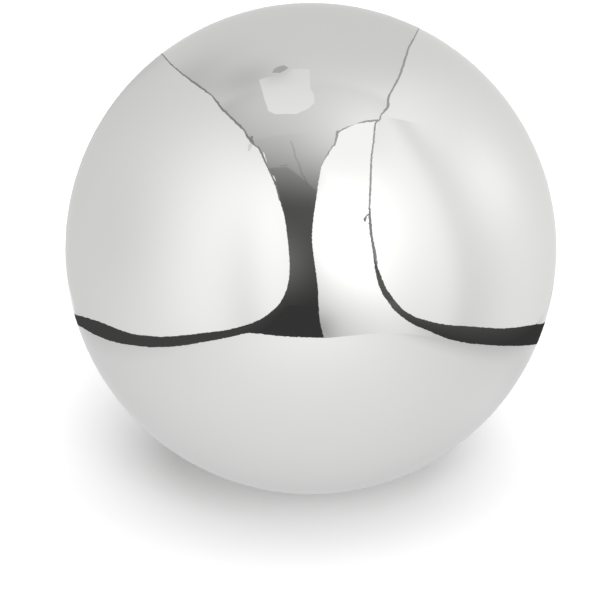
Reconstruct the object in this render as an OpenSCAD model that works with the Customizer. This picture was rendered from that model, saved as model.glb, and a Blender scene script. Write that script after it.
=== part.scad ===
// Polished steel ball
// One solid ball of steel, ground and lapped to a mirror finish all over.
// It has no flat, bore, seam or coating, so its whole shape is one true sphere.
// The origin is the ball's centre, and +Z points up as it stands.

/* [Ball] */
// Diameter of the ball, the same across every axis
ball_d = 50; // [3:0.5:150]

/* [Hidden] */
// Facets round a great circle when the ball is shown on screen
screen_facets = 180;
// Colour of the polished steel
polished_steel = [0.83, 0.83, 0.82];

module ball() {
    color(polished_steel)
        sphere(d = ball_d, $fn = screen_facets);
}

ball();
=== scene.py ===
"""Polished steel ball on a white floor, inside a small white tent.

The ball is one true sphere with a lapped mirror finish, so its look is what it mirrors: two white curtains
and a flap, the dark gaps between them, and a ceiling above. These are stage pieces that only reflections see.
Their light and shade are painted into their glow. Places on the stage are in ball radii from the ball's
centre, with the camera on the -Y side.
"""
import math

import bmesh
import bpy
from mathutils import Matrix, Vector, noise
from mathutils.geometry import delaunay_2d_cdt


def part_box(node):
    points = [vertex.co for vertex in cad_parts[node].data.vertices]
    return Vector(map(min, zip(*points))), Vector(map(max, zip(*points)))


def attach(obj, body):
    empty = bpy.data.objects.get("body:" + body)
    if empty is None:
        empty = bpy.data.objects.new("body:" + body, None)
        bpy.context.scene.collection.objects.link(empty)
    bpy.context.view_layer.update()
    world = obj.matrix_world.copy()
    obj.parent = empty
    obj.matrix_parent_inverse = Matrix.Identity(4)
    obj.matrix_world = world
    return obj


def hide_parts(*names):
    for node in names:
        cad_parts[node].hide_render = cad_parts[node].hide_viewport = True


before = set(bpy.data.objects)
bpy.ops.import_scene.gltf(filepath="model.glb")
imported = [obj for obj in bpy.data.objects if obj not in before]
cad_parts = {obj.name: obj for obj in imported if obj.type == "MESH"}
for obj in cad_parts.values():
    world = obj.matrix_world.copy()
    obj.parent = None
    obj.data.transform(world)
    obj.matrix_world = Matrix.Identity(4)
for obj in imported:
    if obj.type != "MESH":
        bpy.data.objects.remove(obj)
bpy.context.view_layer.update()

# The ball, in metres, with its centre at the frame's origin
BALL_LOW, BALL_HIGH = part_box("ball")
RADIUS = (BALL_HIGH.z - BALL_LOW.z) / 2
SIDE_QUADS = 64

# The ball's place in the photograph, in pixels
FRAME_PX = 600
BALL_X_PX = 310.4
BALL_Y_PX = 247.85
BALL_RADIUS_PX = 245.6
PIXEL_MIDDLE = 0.5

# The camera: its height above the horizon, and its distance and clipping in ball radii
CAM_ELEVATION = math.radians(16)
CAM_DISTANCE = 4.5
CAM_CLIP = (0.01, 1000)
SENSOR_MM = 36
FOCAL_PX = BALL_RADIUS_PX / math.tan(math.asin(1 / CAM_DISTANCE))

# The tent is a rounded box of these half sizes, and the room is the same box made larger
TENT_HALF = Vector((2.15, 3.3, 4.5))
TENT_POWER = 4
TENT_SCALE = 1
HEM_SCALE = 0.985
LAMP_SCALE = 2.4
ROOM_SCALE = 2.5
SHELL_REACH = 60
HALVINGS = 50

# Where the tent's pieces end out of the photograph's sight, as azimuth and elevation in degrees
BELOW_FLOOR = -50
LEFT_BACK = (-180, 6)
RIGHT_BACK = (180, 8)
FLAP_FOOT = [(55, -35), (5, -35)]
ROOM_ROUND = [(-180, -40), (180, -40), (180, 89.9), (-180, 89.9)]
PANEL_GRID = math.radians(4)
LAMP_GRID = math.radians(10)
SAME_POINT = 1e-6

# The floor, and the dark ground in the gap round the sheet, which closes behind the ball at two tips
FLOOR_Z = -1
FLOOR_HALF = 80
GROUND_LIFT = 0.002
GROUND_REACH = 14
GAP_TIPS = (Vector((-0.6, 3.1)), Vector((0.6, 3.1)))

# Edges of the stage pieces where the ball shows them, in pixels; a hemmed edge has the hem's width as well
GAP_LEFT_END_PX = [(80.4, 315.6), (75.6, 314.3)]
GAP_RIGHT_END_PX = [(543.6, 322.3), (536, 323.7)]
LEFT_SEAM_PX = [
    (160, 52, 1.1), (173, 66, 1.3), (190.3, 79.8, 1.9), (203.5, 89.2, 2), (212.2, 96.1, 1.2),
    (220.8, 107.6, 2.4), (227, 113.7, 2), (238.1, 124.3, 2.4), (243.6, 129.8, 1.8), (246.9, 135.8, 2.2),
    (250.8, 140.9, 2.4), (254.7, 144.8, 1.2), (258.8, 148.5, 1.8), (265.3, 163.1, 1.2), (275.1, 185, 1.2),
    (279.2, 200, 1.2),
]
LEFT_FOOT_PX = [
    (284.2, 218), (287.8, 245), (289, 268), (286.8, 286), (280.3, 301), (271, 310.8), (260, 318.6),
    (248, 323.6), (228, 329.1), (208, 331.9), (168, 336), (148, 335.2), (128, 332.3), (98, 320.9),
    *GAP_LEFT_END_PX,
]
RIGHT_SEAM_PX = [
    (419, 27, 1.1), (412.3, 40, 1.6), (408, 48, 2), (400, 73, 2.2), (394, 85, 1.9), (388, 97, 2.3),
    (387.2, 106.2, 2.7), (381, 114, 1.4), (379, 119.5, 1.8), (375, 123, 1.8), (373.2, 140, 1.7),
    (371, 158, 1.7), (370, 184, 2), (369, 207, 1.9),
]
RIGHT_HEM_PX = [(370, 227, 2.9), (371.6, 239, 2.6), (373.9, 252, 3.2), (375.2, 258, 2.6), (376.7, 264, 1.2)]
RIGHT_FOOT_PX = [
    (378.5, 270), (383.1, 282), (386, 288.2), (390.2, 294.2), (394.3, 299.8), (402, 308.4), (410, 313.8),
    (418, 317.6), (434, 321.9), (450, 324.5), (474, 326.2), (498, 327.8), (514, 327), (530, 324.9),
    GAP_RIGHT_END_PX[0],
]
FLAP_LEFT_PX = [
    (323.5, 338), (319, 317), (317.1, 285), (313, 254), (311.5, 238), (312.9, 218), (315.4, 200.5),
    (318.4, 180),
]
FLAP_SEAM_PX = [
    (321.1, 165.3, 0.4), (323.9, 159.3, 0.6), (327.1, 153.9, 1.2), (331.9, 146.5, 1.2), (334.7, 142.4, 1.9),
    (336.9, 132.3, 2.8), (339, 130.6, 1.7), (346.6, 126.8, 1), (355.3, 123.4, 0.4), (365.1, 121, 1.8),
    (378.1, 119.7, 2),
]
FLAP_RIGHT_PX = [
    (374, 140), (371, 165), (369, 205), (370.5, 232), (373.4, 262), (377.5, 282), (382, 293.4), (386, 299.3),
    (394, 309.8), (410, 322.4), (426, 329.5), (442, 336.6), (450, 339.6),
]
SHEET_LEFT_PX = [
    (79, 325.9), (98, 336), (118, 342.7), (148, 346.7), (168, 346.5), (188, 344.4), (228, 337), (246, 332.8),
    (258, 333.4), (280, 335.8), (300, 336.8), (325, 337.6),
]
SHEET_RIGHT_PX = [
    (436, 333.9), (446, 338.1), (458, 341.1), (474, 343.6), (506, 345.7), (522, 345.4), (536, 344),
]
WALL_LINE_PX = [(279, 165.3, 0.8), (284.5, 165, 1.4), (288, 163.9, 0.8)]
SLIT_PX = [
    (290.1, 140, 1.6), (293.6, 149.5, 1.8), (294.8, 156.5, 1.8), (298.7, 163.8, 1.7), (301, 172.5, 1.9),
    (304, 177.5, 2), (307, 184.3, 1.5),
]
# A thread's painted shadow under the left knot, and painted glints beside the left hem
THREAD_SHADOW_PX = [(251, 142.5, 2.5), (249.6, 146, 3.4), (248.2, 150.5, 2)]
UPPER_GLINT_PX = [(262.8, 151.8, 0.5), (264.6, 156.8, 0.8), (266.3, 161.5, 0.5)]
LOWER_GLINT_PX = [(272.4, 174.8, 0.5), (274, 178, 0.8), (275.3, 180.8, 0.5)]
LAMP_PX = [
    (258.6, 79), (263.6, 97.7), (268, 110.6), (275, 113.8), (296, 113.5), (308, 108), (314, 102.5),
    (313.5, 94), (310, 88), (309, 69), (293, 68.5), (284, 75), (271, 76),
]
LAMP_SPOT_PX = [(271.5, 72.3), (274, 68), (278, 66), (283.5, 64.7), (288, 67), (285, 69.7), (279.5, 72.4)]
LEFT_KNOT_PX = [
    (246.5, 135), (250, 137), (250.5, 135.5), (252.8, 135.6), (252, 138.5), (254, 142.5), (249, 139.5),
]
RIGHT_KNOT_PX = [
    (369.8, 212.6), (368.6, 214.6), (366.5, 215.6), (365.8, 219.5), (364.4, 222.3), (362.6, 218.6),
    (364.5, 216.2), (366.5, 213.8),
]

# The cloth's cut edges are uneven by about FRAY_PX pixels, in waves of about 1 / FRAY_SCALE pixels
EDGE_STEP_PX = 1.2
FRAY_PX = 0.6
FRAY_SCALE = 0.45
FRAY_SEED = 3

# Painted light of the stage pieces, where 1 is white: a level, and glows as pixel or place, reach and gain
CLOTH_TINT = (1, 1, 0.99, 1)

# The left curtain, with painted pools of light, a small painted shade, and painted shade along one soft
# upright fold
LEFT_CURTAIN_LIGHT = 0.8
LEFT_CURTAIN_GLOWS = [((265, 198), 2.25, 0.37), ((232, 298), 2.2, 0.28), ((131, 238), 0.91, -0.08)]
FOLD_X = -1.44
FOLD_LEAN = 0.09
FOLD_WIDTH = 0.5
FOLD_HEIGHT = 2
FOLD_SHADE = 0.2

# The right curtain, with painted pools of light, and painted shade along a crease that bends with height and
# has a wider side at the back
RIGHT_CURTAIN_LIGHT = 0.81
RIGHT_CURTAIN_GLOWS = [
    ((303, 219), 2.32, 1.05), ((489, 182), 0.65, 0.13), ((395, 106), 1.47, 0.13), ((534, 252), 2.6, 0.12),
]
CREASE_Y = -1.324
CREASE_BEND = 0.0038
CREASE_BEND_POWER = 4
CREASE_HEIGHTS = (0.2, 2.7)
CREASE_BACK = (0.65, 0.31)
CREASE_FRONT = 0.35
CREASE_SHADE = 0.14
CREASE_TOP = (0.9, 0.97)
CREASE_TOP_LEAN = 2.5

# The flap's light from its foot to its top, with a painted pool of light and painted shade towards its foot
# and left edge
FLAP_LIGHTS = (0.59, 1.15)
FLAP_SPAN = 4.15
FLAP_LEAN = 2.62
FLAP_GLOWS = [((341, 239), 1.38, 0.66), ((316, 328), 0.4, -0.22), ((446, 325), 1.18, -0.46)]

# The ceiling, with its dark front, a beam and a wall in painted shade, and the fine lines in front of it
CEILING_LIGHT = 0.76
# Ceiling glows with a gain above 0 are painted pools of light, and those below 0 are painted shade
CEILING_GLOWS = [
    ((409, 177), 0.46, 1.18), ((248, 79), 0.17, -0.13), ((173, 94), 0.32, -0.17), ((275, 267), 0.23, 1.6),
    ((386, 292), 0.25, 1.2),
]
CEILING_LEAN = -0.02
DARK_HEIGHTS = (-0.1, 0.5)
DARK_SHARES = (0.06, 0.15)
BRIGHT_HEIGHT = 1.04
BEHIND = (-0.35, 0.05)
BEHIND_BLEND = 0.15
EDGE_SOFTNESS = (-0.01, 0.004)
BEAM_PX = [(255.5, 138.4), (284, 133.8)]
BEAM_DIP = 0.05
BEAM_FADE = (-0.2, 0.05)
WALL_TOP_PX = [(270, 167), (289, 166)]
WALL_SIDE_PX = [(288, 166.5), (306, 181)]
WALL_SHADE = 0.24
LINE_DIP = 0.18

# The ceiling lamp and a dark spot at its edge
LAMP_ENDS_PX = [(285, 76), (285, 113)]
LAMP_LIGHTS = (0.875, 0.965)
LAMP_SHADE = ((275, 75), 1, -0.12)
LAMP_SPOT_LIGHT = 0.48

# The dark ground outside the tent, the cloth's hems, and the painted glints
GROUND_LEFT = (-1.6, -1.1)
GROUND_LEFT_LIGHTS = (0.062, 0.043)
GROUND_RIGHT = (2.1, 3.6)
GROUND_RIGHT_GAIN = 0.085
HEM_LIGHT = 0.28
PALE_HEM_LIGHT = 0.42
GLINT_LIGHT = 1.2

# The white sheet under the ball, and its painted light in reflections: glows, a painted shadow under the
# ball, and painted shade at its side edges
SHEET_LIGHT = 0.685
SHEET_GLOWS = [
    (Vector((0, -3.41, FLOOR_Z)), 2.43, 0.29), (Vector((0, 0.35, FLOOR_Z)), 0.53, -0.52),
    (Vector((1.19, -0.16, FLOOR_Z)), 0.44, 0.054),
    (Vector((-2.3, 2.3, FLOOR_Z)), 0.6, 0.45), (Vector((2.6, 1.55, FLOOR_Z)), 0.75, 0.45),
]
SHEET_EDGE = (1.63, 2.15)
SHEET_EDGE_SHADES = (0.07, 0.17)

# The steel: its tone and roughness at the two ends of a faint uneven polish, and its tone at grazing sight
STEEL_TONES = ((0.77, 0.77, 0.765, 1), (0.79, 0.79, 0.785, 1))
STEEL_GRAZING = (0.92, 0.92, 0.92, 1)
POLISH_SCALE = 2.2
POLISH_DETAIL = 5
POLISH_SPAN = (0.3, 0.7)
POLISH_ROUGHNESS = (0.015, 0.03)

# The floor: its colour for light that spreads, how bright the camera sees it, and its share in reflections
FLOOR_COLOUR = 0.9
FLOOR_SEEN = 1.23
FLOOR_MIRRORED = 0.08

# Two broad soft lamps as direction, angle across and strength, and the plain light from all round
TOP_LAMP = (Vector((0.06, -0.17, 1)), math.radians(66), 1.89)
FRONT_LAMP = (Vector((0.28, -1.45, 1)), math.radians(36), 1.24)
WORLD_LIGHT = 0.14


def camera_axes():
    """Right, up and back of the camera, which looks at the ball's centre."""
    back = Vector((0, -math.cos(CAM_ELEVATION), math.sin(CAM_ELEVATION)))
    right = Vector((1, 0, 0))
    return right, back.cross(right), back


def mirrored(pixel):
    """The point of the ball at a pixel, and the way the camera's ray leaves it, in ball radii."""
    right, up, back = camera_axes()
    x = (pixel[0] - BALL_X_PX) / FOCAL_PX
    y = (BALL_Y_PX - pixel[1]) / FOCAL_PX
    ray = (right * x + up * y - back).normalized()
    eye = back * CAM_DISTANCE
    along = -eye.dot(ray)
    inside = max(along ** 2 - CAM_DISTANCE ** 2 + 1, 0)
    point = (eye + ray * (along - math.sqrt(inside))).normalized()
    return point, ray.reflect(point)


def shell_level(place):
    """1 on the tent's walls, less inside and more outside."""
    return sum(abs(place[i] / TENT_HALF[i]) ** TENT_POWER for i in range(3)) ** (1 / TENT_POWER)


def shell_point(bearing, scale):
    """The point of a shell in a direction from the ball's centre, given as azimuth and elevation."""
    azimuth, elevation = bearing
    way = Vector((
        math.sin(azimuth) * math.cos(elevation),
        -math.cos(azimuth) * math.cos(elevation),
        math.sin(elevation),
    ))
    return way * (scale / shell_level(way))


def shell_bearing(pixel, scale):
    """The direction from the ball's centre of the shell's point that the ball mirrors at a pixel."""
    start, way = mirrored(pixel)
    near, far = 0, SHELL_REACH
    for _ in range(HALVINGS):
        middle = (near + far) / 2
        if shell_level(start + way * middle) < scale:
            near = middle
        else:
            far = middle
    place = start + way * near
    return math.atan2(place.x, -place.y), math.atan2(place.z, math.hypot(place.x, place.y))


def shell_place(pixel, scale):
    """The shell's point that the ball mirrors at a pixel."""
    return shell_point(shell_bearing(pixel, scale), scale)


def floor_place(pixel):
    """The floor's point that the ball mirrors at a pixel."""
    start, way = mirrored(pixel)
    return start + way * ((FLOOR_Z - start.z) / way.z)


def smooth_path(points):
    """A curve through the points, by Catmull and Rom's rule."""
    points = [Vector(p) for p in points]
    ends = [2 * points[0] - points[1], *points, 2 * points[-1] - points[-2]]
    path = []
    for a, b, c, d in zip(ends, ends[1:], ends[2:], ends[3:]):
        steps = math.ceil((c - b).length / EDGE_STEP_PX)
        for step in range(steps):
            t = step / steps
            path.append(0.5 * (2 * b + (c - a) * t + (2 * a - 5 * b + 4 * c - d) * t ** 2
                               + (3 * b - a - 3 * c + d) * t ** 3))
    return [*path, points[-1]]


def frayed(points):
    """A smooth path with the small unevenness of a cut edge, in its width too where it has one."""
    path = []
    for point in smooth_path(points):
        shake = noise.noise_vector(Vector((point.x, point.y, 0)) * FRAY_SCALE) * FRAY_PX
        path.append(point + shake.resized(len(point)))
    return path


def degrees(*bearings):
    """Bearings given in degrees."""
    return [(math.radians(a), math.radians(e)) for a, e in bearings]


def add_mesh(name, places, faces):
    """A stage mesh from places in ball radii."""
    mesh = bpy.data.meshes.new(name)
    mesh.from_pydata([Vector(p) * RADIUS for p in places], [], faces)
    piece = bpy.data.objects.new(name, mesh)
    bpy.context.scene.collection.objects.link(piece)
    return piece


def mirror_only(piece, material):
    """Shows a stage piece in reflections alone."""
    piece.data.materials.append(material)
    piece.visible_camera = False
    piece.visible_diffuse = False
    piece.visible_shadow = False
    piece.visible_volume_scatter = False
    return piece


def filled(outline, inner=()):
    """The points and faces of a flat outline, with points inside it."""
    ring = list(range(len(outline)))
    edges = list(zip(ring, ring[1:] + ring[:1]))
    found = delaunay_2d_cdt([Vector(p) for p in [*outline, *inner]], edges, [ring], 1, SAME_POINT)
    return found[0], found[2]


def panel(name, outline, scale, material, grid=PANEL_GRID):
    """A piece of a shell inside an outline of bearings."""
    low = [min(b[i] for b in outline) for i in range(2)]
    high = [max(b[i] for b in outline) for i in range(2)]
    counts = [int((high[i] - low[i]) / grid) + 1 for i in range(2)]
    inner = [(low[0] + grid * i, low[1] + grid * j) for i in range(counts[0]) for j in range(counts[1])]
    bearings, faces = filled(outline, inner)
    return mirror_only(add_mesh(name, [shell_point(b, scale) for b in bearings], faces), material)


def edge_bearings(*stretches):
    """A tent piece's edge, as bearings, from stretches of its pixels in order."""
    pixels = [p[:2] for stretch in stretches for p in stretch]
    return [shell_bearing(p, TENT_SCALE) for p in frayed(pixels)]


def hem(name, seam, material):
    """A thin strip along a seam of pixels and widths."""
    path = frayed(seam)
    places = []
    for before, here, after in zip([path[0], *path], path, [*path[1:], path[-1]]):
        along = (after - before).xy.normalized()
        side = Vector((-along.y, along.x)) * here.z / 2
        places.append(shell_place(here.xy + side, HEM_SCALE))
        places.append(shell_place(here.xy - side, HEM_SCALE))
    faces = [(i, i + 1, i + 3, i + 2) for i in range(0, len(places) - 2, 2)]
    return mirror_only(add_mesh(name, places, faces), material)


def add_node(tree, kind, settings=(), **inputs):
    """A node with its settings and inputs, where an input is a value or another node's socket."""
    node = tree.nodes.new(kind)
    for name, value in dict(settings).items():
        setattr(node, name, value)
    for name, value in inputs.items():
        socket = node.inputs[int(name[1:])] if name[0] == "i" and name[1:].isdigit() else node.inputs[name]
        if isinstance(value, bpy.types.NodeSocket):
            tree.links.new(value, socket)
        else:
            socket.default_value = value
    return node


def maths(tree, operation, *values):
    """The result of a Math node."""
    inputs = {f"i{n}": value for n, value in enumerate(values)}
    return add_node(tree, "ShaderNodeMath", {"operation": operation}, **inputs).outputs[0]


def vector_maths(tree, operation, output, *values):
    """A result of a Vector Math node."""
    inputs = {f"i{n}": value for n, value in enumerate(values)}
    return add_node(tree, "ShaderNodeVectorMath", {"operation": operation}, **inputs).outputs[output]


def ramp(tree, value, low, high, to_low, to_high, kind="LINEAR"):
    """A value carried from one range to another."""
    inputs = {"Value": value, "From Min": low, "From Max": high, "To Min": to_low, "To Max": to_high}
    return add_node(tree, "ShaderNodeMapRange", {"interpolation_type": kind}, **inputs).outputs["Result"]


def soft_step(tree, value, low, high, to_low, to_high):
    """A value carried from one range to another, easing in and out."""
    return ramp(tree, value, low, high, to_low, to_high, "SMOOTHSTEP")


def dimmed(tree, light, share, dip):
    """A light that loses a part of itself where a share is 1."""
    return maths(tree, "MULTIPLY", light, ramp(tree, share, 0, 1, 1, 1 - dip))


def new_material(name):
    material = bpy.data.materials.new(name)
    material.use_nodes = True
    material.node_tree.nodes.clear()
    return material, material.node_tree


def finish_material(tree, shader):
    add_node(tree, "ShaderNodeOutputMaterial", Surface=shader)


def in_radii(tree, position):
    """A position in ball radii."""
    shrink = vector_maths(tree, "SCALE", "Vector", position)
    shrink.node.inputs["Scale"].default_value = 1 / RADIUS
    return shrink


def stage_place(tree):
    """Where a stage piece is, in ball radii from the ball's centre."""
    return in_radii(tree, add_node(tree, "ShaderNodeNewGeometry").outputs["Position"])


def coordinate(tree, place, axis):
    return add_node(tree, "ShaderNodeSeparateXYZ", Vector=place).outputs[axis]


def leaning(tree, place, axis, other, lean):
    """A coordinate plus a share of another one."""
    return maths(tree, "MULTIPLY_ADD", coordinate(tree, place, other), lean, coordinate(tree, place, axis))


def bell(tree, value, width):
    """1 where a value is 0, falling off softly to both sides."""
    share = maths(tree, "DIVIDE", value, width)
    return maths(tree, "EXPONENT", maths(tree, "MULTIPLY", maths(tree, "POWER", share, 2), -1))


def add_glow(tree, light, place, centre, reach, gain):
    """A light with a soft round glow added to it."""
    away = vector_maths(tree, "DISTANCE", "Value", place, centre)
    return maths(tree, "ADD", light, maths(tree, "MULTIPLY", bell(tree, away, reach), gain))


def add_glows(tree, light, place, glows):
    """A light with the glows of a tent piece added to it."""
    for pixel, reach, gain in glows:
        light = add_glow(tree, light, place, shell_place(pixel, TENT_SCALE), reach, gain)
    return light


# Stage pieces shine with painted light: their glow stands in for how brightly the cloth, ceiling and floor
# are lit
def emit(tree, strength):
    shader = add_node(tree, "ShaderNodeEmission", Strength=strength)
    shader.inputs["Color"].default_value = CLOTH_TINT
    finish_material(tree, shader.outputs[0])


def left_curtain_material():
    """White cloth with painted pools of light, and painted shade along one soft upright fold."""
    material, tree = new_material("left_curtain")
    place = stage_place(tree)
    light = add_glows(tree, LEFT_CURTAIN_LIGHT, place, LEFT_CURTAIN_GLOWS)
    across = maths(tree, "ADD", leaning(tree, place, "X", "Z", FOLD_LEAN), -FOLD_X)
    tall = bell(tree, coordinate(tree, place, "Z"), FOLD_HEIGHT)
    fold_shade = maths(tree, "MULTIPLY", bell(tree, across, FOLD_WIDTH), tall)
    emit(tree, maths(tree, "SUBTRACT", light, maths(tree, "MULTIPLY", fold_shade, FOLD_SHADE)))
    return material


def right_curtain_material():
    """White cloth with painted shade along one upright crease, which bends and narrows towards the seam that
    ends it.
    """
    material, tree = new_material("right_curtain")
    place = stage_place(tree)
    light = add_glows(tree, RIGHT_CURTAIN_LIGHT, place, RIGHT_CURTAIN_GLOWS)
    height = maths(tree, "MAXIMUM", coordinate(tree, place, "Z"), 0)
    bend = maths(tree, "POWER", height, CREASE_BEND_POWER)
    middle = maths(tree, "MULTIPLY_ADD", bend, CREASE_BEND, CREASE_Y)
    across = maths(tree, "SUBTRACT", coordinate(tree, place, "Y"), middle)
    back = ramp(tree, height, *CREASE_HEIGHTS, *CREASE_BACK)
    width = ramp(tree, maths(tree, "GREATER_THAN", across, 0), 0, 1, CREASE_FRONT, back)
    dip = ramp(tree, leaning(tree, place, "Z", "Y", CREASE_TOP_LEAN), *CREASE_TOP, CREASE_SHADE, 0)
    emit(tree, maths(tree, "SUBTRACT", light, maths(tree, "MULTIPLY", bell(tree, across, width), dip)))
    return material


def flap_material():
    """White cloth with a painted pool of light, and painted shade towards its foot and its left edge."""
    material, tree = new_material("flap")
    place = stage_place(tree)
    height = leaning(tree, place, "Z", "X", FLAP_LEAN)
    emit(tree, add_glows(tree, ramp(tree, height, 0, FLAP_SPAN, *FLAP_LIGHTS), place, FLAP_GLOWS))
    return material


def under_edge(tree, way, pixels):
    """1 under the plane through the ball's centre and two pixels, given from left to right."""
    ends = [shell_place(p, ROOM_SCALE) for p in pixels]
    above = vector_maths(tree, "DOT_PRODUCT", "Value", way, ends[0].cross(ends[1]).normalized())
    return soft_step(tree, above, *EDGE_SOFTNESS, 1, 0)


def beam_share(tree, way):
    """1 on the beam across the ceiling, fading to the right."""
    fade = soft_step(tree, coordinate(tree, way, "X"), *BEAM_FADE, 1, 0)
    return maths(tree, "MULTIPLY", under_edge(tree, way, BEAM_PX), fade)


def shaded_wall_share(tree, way):
    """1 on the wall at the left, which is in painted shade, under its top edge and its slanting side."""
    return maths(tree, "MULTIPLY", under_edge(tree, way, WALL_TOP_PX), under_edge(tree, way, WALL_SIDE_PX))


def ceiling_shade(tree, way):
    """1 overhead and behind, falling off to a dark front."""
    height = leaning(tree, way, "Z", "X", CEILING_LEAN)
    low = ramp(tree, height, *DARK_HEIGHTS, *DARK_SHARES)
    high = soft_step(tree, height, DARK_HEIGHTS[1], BRIGHT_HEIGHT, 0, 1 - DARK_SHARES[1])
    behind = soft_step(tree, coordinate(tree, way, "Y"), *BEHIND, 0, 1)
    return maths(tree, "SMOOTH_MAX", maths(tree, "ADD", low, high), behind, BEHIND_BLEND)


def room_material():
    """A pale ceiling with painted pools of light and shade and a beam, and a wall in painted shade at the
    left of the dark front.
    """
    material, tree = new_material("room")
    way = vector_maths(tree, "NORMALIZE", "Vector", stage_place(tree))
    light = CEILING_LIGHT
    for pixel, reach, gain in CEILING_GLOWS:
        light = add_glow(tree, light, way, shell_place(pixel, ROOM_SCALE).normalized(), reach, gain)
    light = maths(tree, "MULTIPLY", light, ceiling_shade(tree, way))
    light = dimmed(tree, light, beam_share(tree, way), BEAM_DIP)
    emit(tree, dimmed(tree, light, shaded_wall_share(tree, way), WALL_SHADE))
    return material


def line_material():
    """A clear strip that dims what is behind it a little."""
    material, tree = new_material("fine_line")
    shader = add_node(tree, "ShaderNodeBsdfTransparent")
    shader.inputs["Color"].default_value = (1 - LINE_DIP, 1 - LINE_DIP, 1 - LINE_DIP, 1)
    finish_material(tree, shader.outputs[0])
    return material


def lamp_material():
    """A lit cloth, brighter towards the front and shaded at one corner."""
    material, tree = new_material("ceiling_lamp")
    place = stage_place(tree)
    ends = [shell_place(p, LAMP_SCALE).y for p in LAMP_ENDS_PX]
    light = ramp(tree, coordinate(tree, place, "Y"), *ends, *LAMP_LIGHTS)
    pixel, reach, gain = LAMP_SHADE
    emit(tree, add_glow(tree, light, place, shell_place(pixel, LAMP_SCALE), reach, gain))
    return material


def ground_material():
    """The dark ground outside the tent, a little lighter at both sides."""
    material, tree = new_material("ground")
    across = coordinate(tree, stage_place(tree), "X")
    light = ramp(tree, across, *GROUND_LEFT, *GROUND_LEFT_LIGHTS)
    emit(tree, maths(tree, "ADD", light, ramp(tree, across, *GROUND_RIGHT, 0, GROUND_RIGHT_GAIN)))
    return material


def plain_material(name, strength):
    material, tree = new_material(name)
    emit(tree, strength)
    return material


def in_mirrors(tree, path):
    """1 for a ray that a shiny or clear surface sends on."""
    return maths(tree, "MAXIMUM", path["Is Glossy Ray"], path["Is Transmission Ray"])


def sheet_light(tree):
    """The floor's painted light in reflections: soft glows, painted shade under the ball and at the edge of
    each side.
    """
    place = stage_place(tree)
    light = SHEET_LIGHT
    for centre, reach, gain in SHEET_GLOWS:
        light = add_glow(tree, light, place, centre, reach, gain)
    across = coordinate(tree, place, "X")
    left = soft_step(tree, maths(tree, "MULTIPLY", across, -1), *SHEET_EDGE, 0, SHEET_EDGE_SHADES[0])
    right = soft_step(tree, across, *SHEET_EDGE, 0, SHEET_EDGE_SHADES[1])
    return maths(tree, "SUBTRACT", light, maths(tree, "ADD", left, right))


def floor_material():
    """White that keeps the ball's shadow, over-exposed to the camera, and in reflections softly lit and given
    painted light and shade.
    """
    material, tree = new_material("floor")
    path = add_node(tree, "ShaderNodeLightPath").outputs
    mirror = in_mirrors(tree, path)
    direct = ramp(tree, path["Is Camera Ray"], 0, 1, FLOOR_COLOUR, FLOOR_SEEN)
    white = add_node(tree, "ShaderNodeBsdfDiffuse", Color=ramp(tree, mirror, 0, 1, direct, FLOOR_MIRRORED))
    glow = add_node(tree, "ShaderNodeEmission", Strength=maths(tree, "MULTIPLY", mirror, sheet_light(tree)))
    both = add_node(tree, "ShaderNodeAddShader", i0=white.outputs[0], i1=glow.outputs[0])
    finish_material(tree, both.outputs[0])
    return material


def steel_material():
    """Lapped steel: a neutral mirror with a faint uneven polish."""
    material, tree = new_material("polished_steel")
    place = in_radii(tree, add_node(tree, "ShaderNodeTexCoord").outputs["Object"])
    noise_node = add_node(tree, "ShaderNodeTexNoise", Vector=place, Scale=POLISH_SCALE, Detail=POLISH_DETAIL)
    cloud = noise_node.outputs["Fac"]
    colour = add_node(tree, "ShaderNodeMix", {"data_type": "RGBA"}, Factor=cloud)
    colour.inputs["A"].default_value = STEEL_TONES[0]
    colour.inputs["B"].default_value = STEEL_TONES[1]
    rough = ramp(tree, cloud, *POLISH_SPAN, *POLISH_ROUGHNESS)
    shader = add_node(tree, "ShaderNodeBsdfPrincipled", Metallic=1.0, Roughness=rough)
    shader.inputs["Specular Tint"].default_value = STEEL_GRAZING
    tree.links.new(colour.outputs["Result"], shader.inputs["Base Color"])
    finish_material(tree, shader.outputs[0])
    return material


def add_ball():
    """The ball as a cube's six grids pushed out to its radius, which keeps the quads even all over."""
    form = bmesh.new()
    bmesh.ops.create_cube(form, size=2)
    bmesh.ops.subdivide_edges(form, edges=form.edges[:], cuts=SIDE_QUADS - 1, use_grid_fill=True)
    for vertex in form.verts:
        even = Vector([math.tan(c * math.pi / 4) for c in vertex.co])
        vertex.co = even.normalized() * RADIUS
    mesh = bpy.data.meshes.new("ball_surface")
    form.to_mesh(mesh)
    form.free()
    mesh.shade_smooth()
    mesh.normals_split_custom_set_from_vertices([v.co.normalized() for v in mesh.vertices])
    mesh.materials.append(steel_material())
    ball = bpy.data.objects.new("ball_surface", mesh)
    bpy.context.scene.collection.objects.link(ball)
    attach(ball, "root")
    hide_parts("ball")


def add_camera():
    data = bpy.data.cameras.new("camera")
    data.sensor_width = SENSOR_MM
    data.lens = SENSOR_MM * FOCAL_PX / FRAME_PX
    data.shift_x = 0.5 - (BALL_X_PX + PIXEL_MIDDLE) / FRAME_PX
    data.shift_y = (BALL_Y_PX + PIXEL_MIDDLE) / FRAME_PX - 0.5
    camera = bpy.data.objects.new("camera", data)
    back = camera_axes()[2]
    camera.location = back * CAM_DISTANCE * RADIUS
    camera.rotation_euler = (-back).to_track_quat("-Z", "Y").to_euler()
    data.clip_start = RADIUS * CAM_CLIP[0]
    data.clip_end = RADIUS * CAM_CLIP[1]
    bpy.context.scene.collection.objects.link(camera)
    bpy.context.scene.camera = camera


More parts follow.
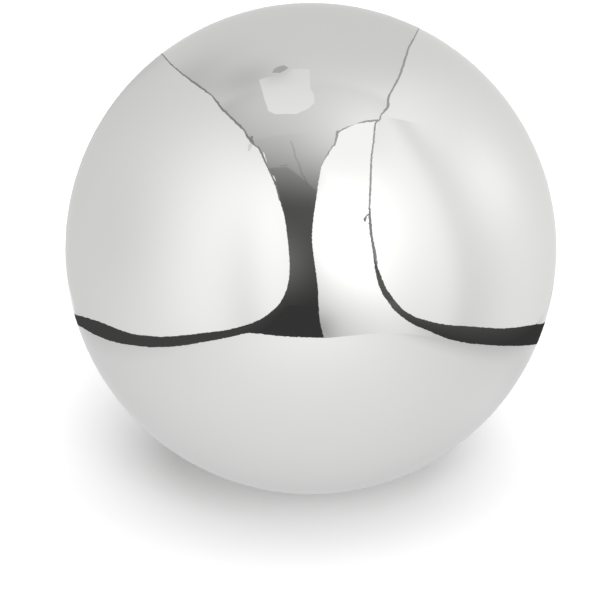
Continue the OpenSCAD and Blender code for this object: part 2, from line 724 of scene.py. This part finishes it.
def add_world():
    """White to the camera and in reflections, and a plain soft light on everything else."""
    world = bpy.data.worlds.new("world")
    world.use_nodes = True
    tree = world.node_tree
    tree.nodes.clear()
    path = add_node(tree, "ShaderNodeLightPath").outputs
    seen = maths(tree, "MAXIMUM", path["Is Camera Ray"], in_mirrors(tree, path))
    strength = ramp(tree, seen, 0, 1, WORLD_LIGHT, 1)
    light = add_node(tree, "ShaderNodeBackground", Color=(1, 1, 1, 1), Strength=strength)
    add_node(tree, "ShaderNodeOutputWorld", Surface=light.outputs[0])
    bpy.context.scene.world = world


def add_lamp(name, direction, angle, strength):
    """A broad soft light from a direction, which the mirror doesn't show."""
    data = bpy.data.lights.new(name, "SUN")
    data.energy = strength
    data.angle = angle
    lamp = bpy.data.objects.new(name, data)
    lamp.rotation_euler = direction.to_track_quat("Z", "Y").to_euler()
    lamp.visible_glossy = False
    bpy.context.scene.collection.objects.link(lamp)


def add_floor():
    """The floor, and the dark ground in the gap round the white sheet, which only reflections see."""
    h = FLOOR_HALF
    corners = [(-h, -h, FLOOR_Z), (h, -h, FLOOR_Z), (h, h, FLOOR_Z), (-h, h, FLOOR_Z)]
    floor = add_mesh("floor", corners, [(0, 1, 2, 3)])
    floor.data.materials.append(floor_material())
    left = [floor_place(p) for p in frayed(SHEET_LEFT_PX)]
    right = [floor_place(p) for p in frayed(SHEET_RIGHT_PX)]
    left_end = [floor_place(p) for p in GAP_LEFT_END_PX]
    right_end = [floor_place(p) for p in GAP_RIGHT_END_PX]
    corner = Vector((TENT_HALF.x, -TENT_HALF.y))
    far = GROUND_REACH
    outer = [(far, right_end[-1].y), (far, -far), (-far, -far), (-far, left_end[0].y)]
    outline = [*left, corner, *right, GAP_TIPS[1], *right_end, *outer, *left_end, GAP_TIPS[0]]
    points, faces = filled([(p[0], p[1]) for p in outline])
    places = [(p.x, p.y, FLOOR_Z + GROUND_LIFT) for p in points]
    mirror_only(add_mesh("ground", places, faces), ground_material())


def add_tent():
    """The curtains, flap, hems, ceiling and lamp that the ball mirrors."""
    left = edge_bearings(LEFT_SEAM_PX, LEFT_FOOT_PX)
    left += [(left[-1][0], math.radians(BELOW_FLOOR)), *degrees((LEFT_BACK[0], BELOW_FLOOR), LEFT_BACK)]
    panel("left_curtain", left, TENT_SCALE, left_curtain_material())
    right = edge_bearings(RIGHT_SEAM_PX, RIGHT_HEM_PX, RIGHT_FOOT_PX)
    right += [(right[-1][0], math.radians(BELOW_FLOOR)), *degrees((RIGHT_BACK[0], BELOW_FLOOR), RIGHT_BACK)]
    panel("right_curtain", right, TENT_SCALE, right_curtain_material())
    flap = edge_bearings(FLAP_LEFT_PX, FLAP_SEAM_PX, FLAP_RIGHT_PX)
    panel("flap", flap + degrees(*FLAP_FOOT), TENT_SCALE, flap_material())
    lamp = [shell_bearing(p, LAMP_SCALE) for p in LAMP_PX]
    panel("ceiling_lamp", lamp, LAMP_SCALE, lamp_material(), LAMP_GRID)
    dark_spot = [shell_bearing(p, LAMP_SCALE) for p in LAMP_SPOT_PX]
    panel("lamp_dark_spot", dark_spot, LAMP_SCALE, plain_material("lamp_dark_spot", LAMP_SPOT_LIGHT))
    panel("room", degrees(*ROOM_ROUND), ROOM_SCALE, room_material())
    add_seams()


def add_seams():
    """The cloth's dark hems and knots, the painted glints beside one, a thread's painted shadow, and the fine
    lines.
    """
    dark = plain_material("hem", HEM_LIGHT)
    pale = plain_material("pale_hem", PALE_HEM_LIGHT)
    glint = plain_material("glint", GLINT_LIGHT)
    line = line_material()
    hem("left_hem", LEFT_SEAM_PX, dark)
    hem("right_hem", RIGHT_SEAM_PX, pale)
    hem("right_low_hem", [RIGHT_SEAM_PX[-1], *RIGHT_HEM_PX], dark)
    hem("flap_hem", FLAP_SEAM_PX, pale)
    hem("upper_glint", UPPER_GLINT_PX, glint)
    hem("lower_glint", LOWER_GLINT_PX, glint)
    hem("thread_shadow", THREAD_SHADOW_PX, line)
    hem("slit", SLIT_PX, line)
    hem("wall_line", WALL_LINE_PX, line)
    for name, pixels in (("left_knot", LEFT_KNOT_PX), ("right_knot", RIGHT_KNOT_PX)):
        panel(name, [shell_bearing(p, HEM_SCALE) for p in pixels], HEM_SCALE, dark)


scene = bpy.context.scene
scene.view_settings.view_transform = "Standard"
add_camera()
add_world()
add_lamp("top_lamp", *TOP_LAMP)
add_lamp("front_lamp", *FRONT_LAMP)
noise.seed_set(FRAY_SEED)
add_floor()
add_tent()
add_ball()
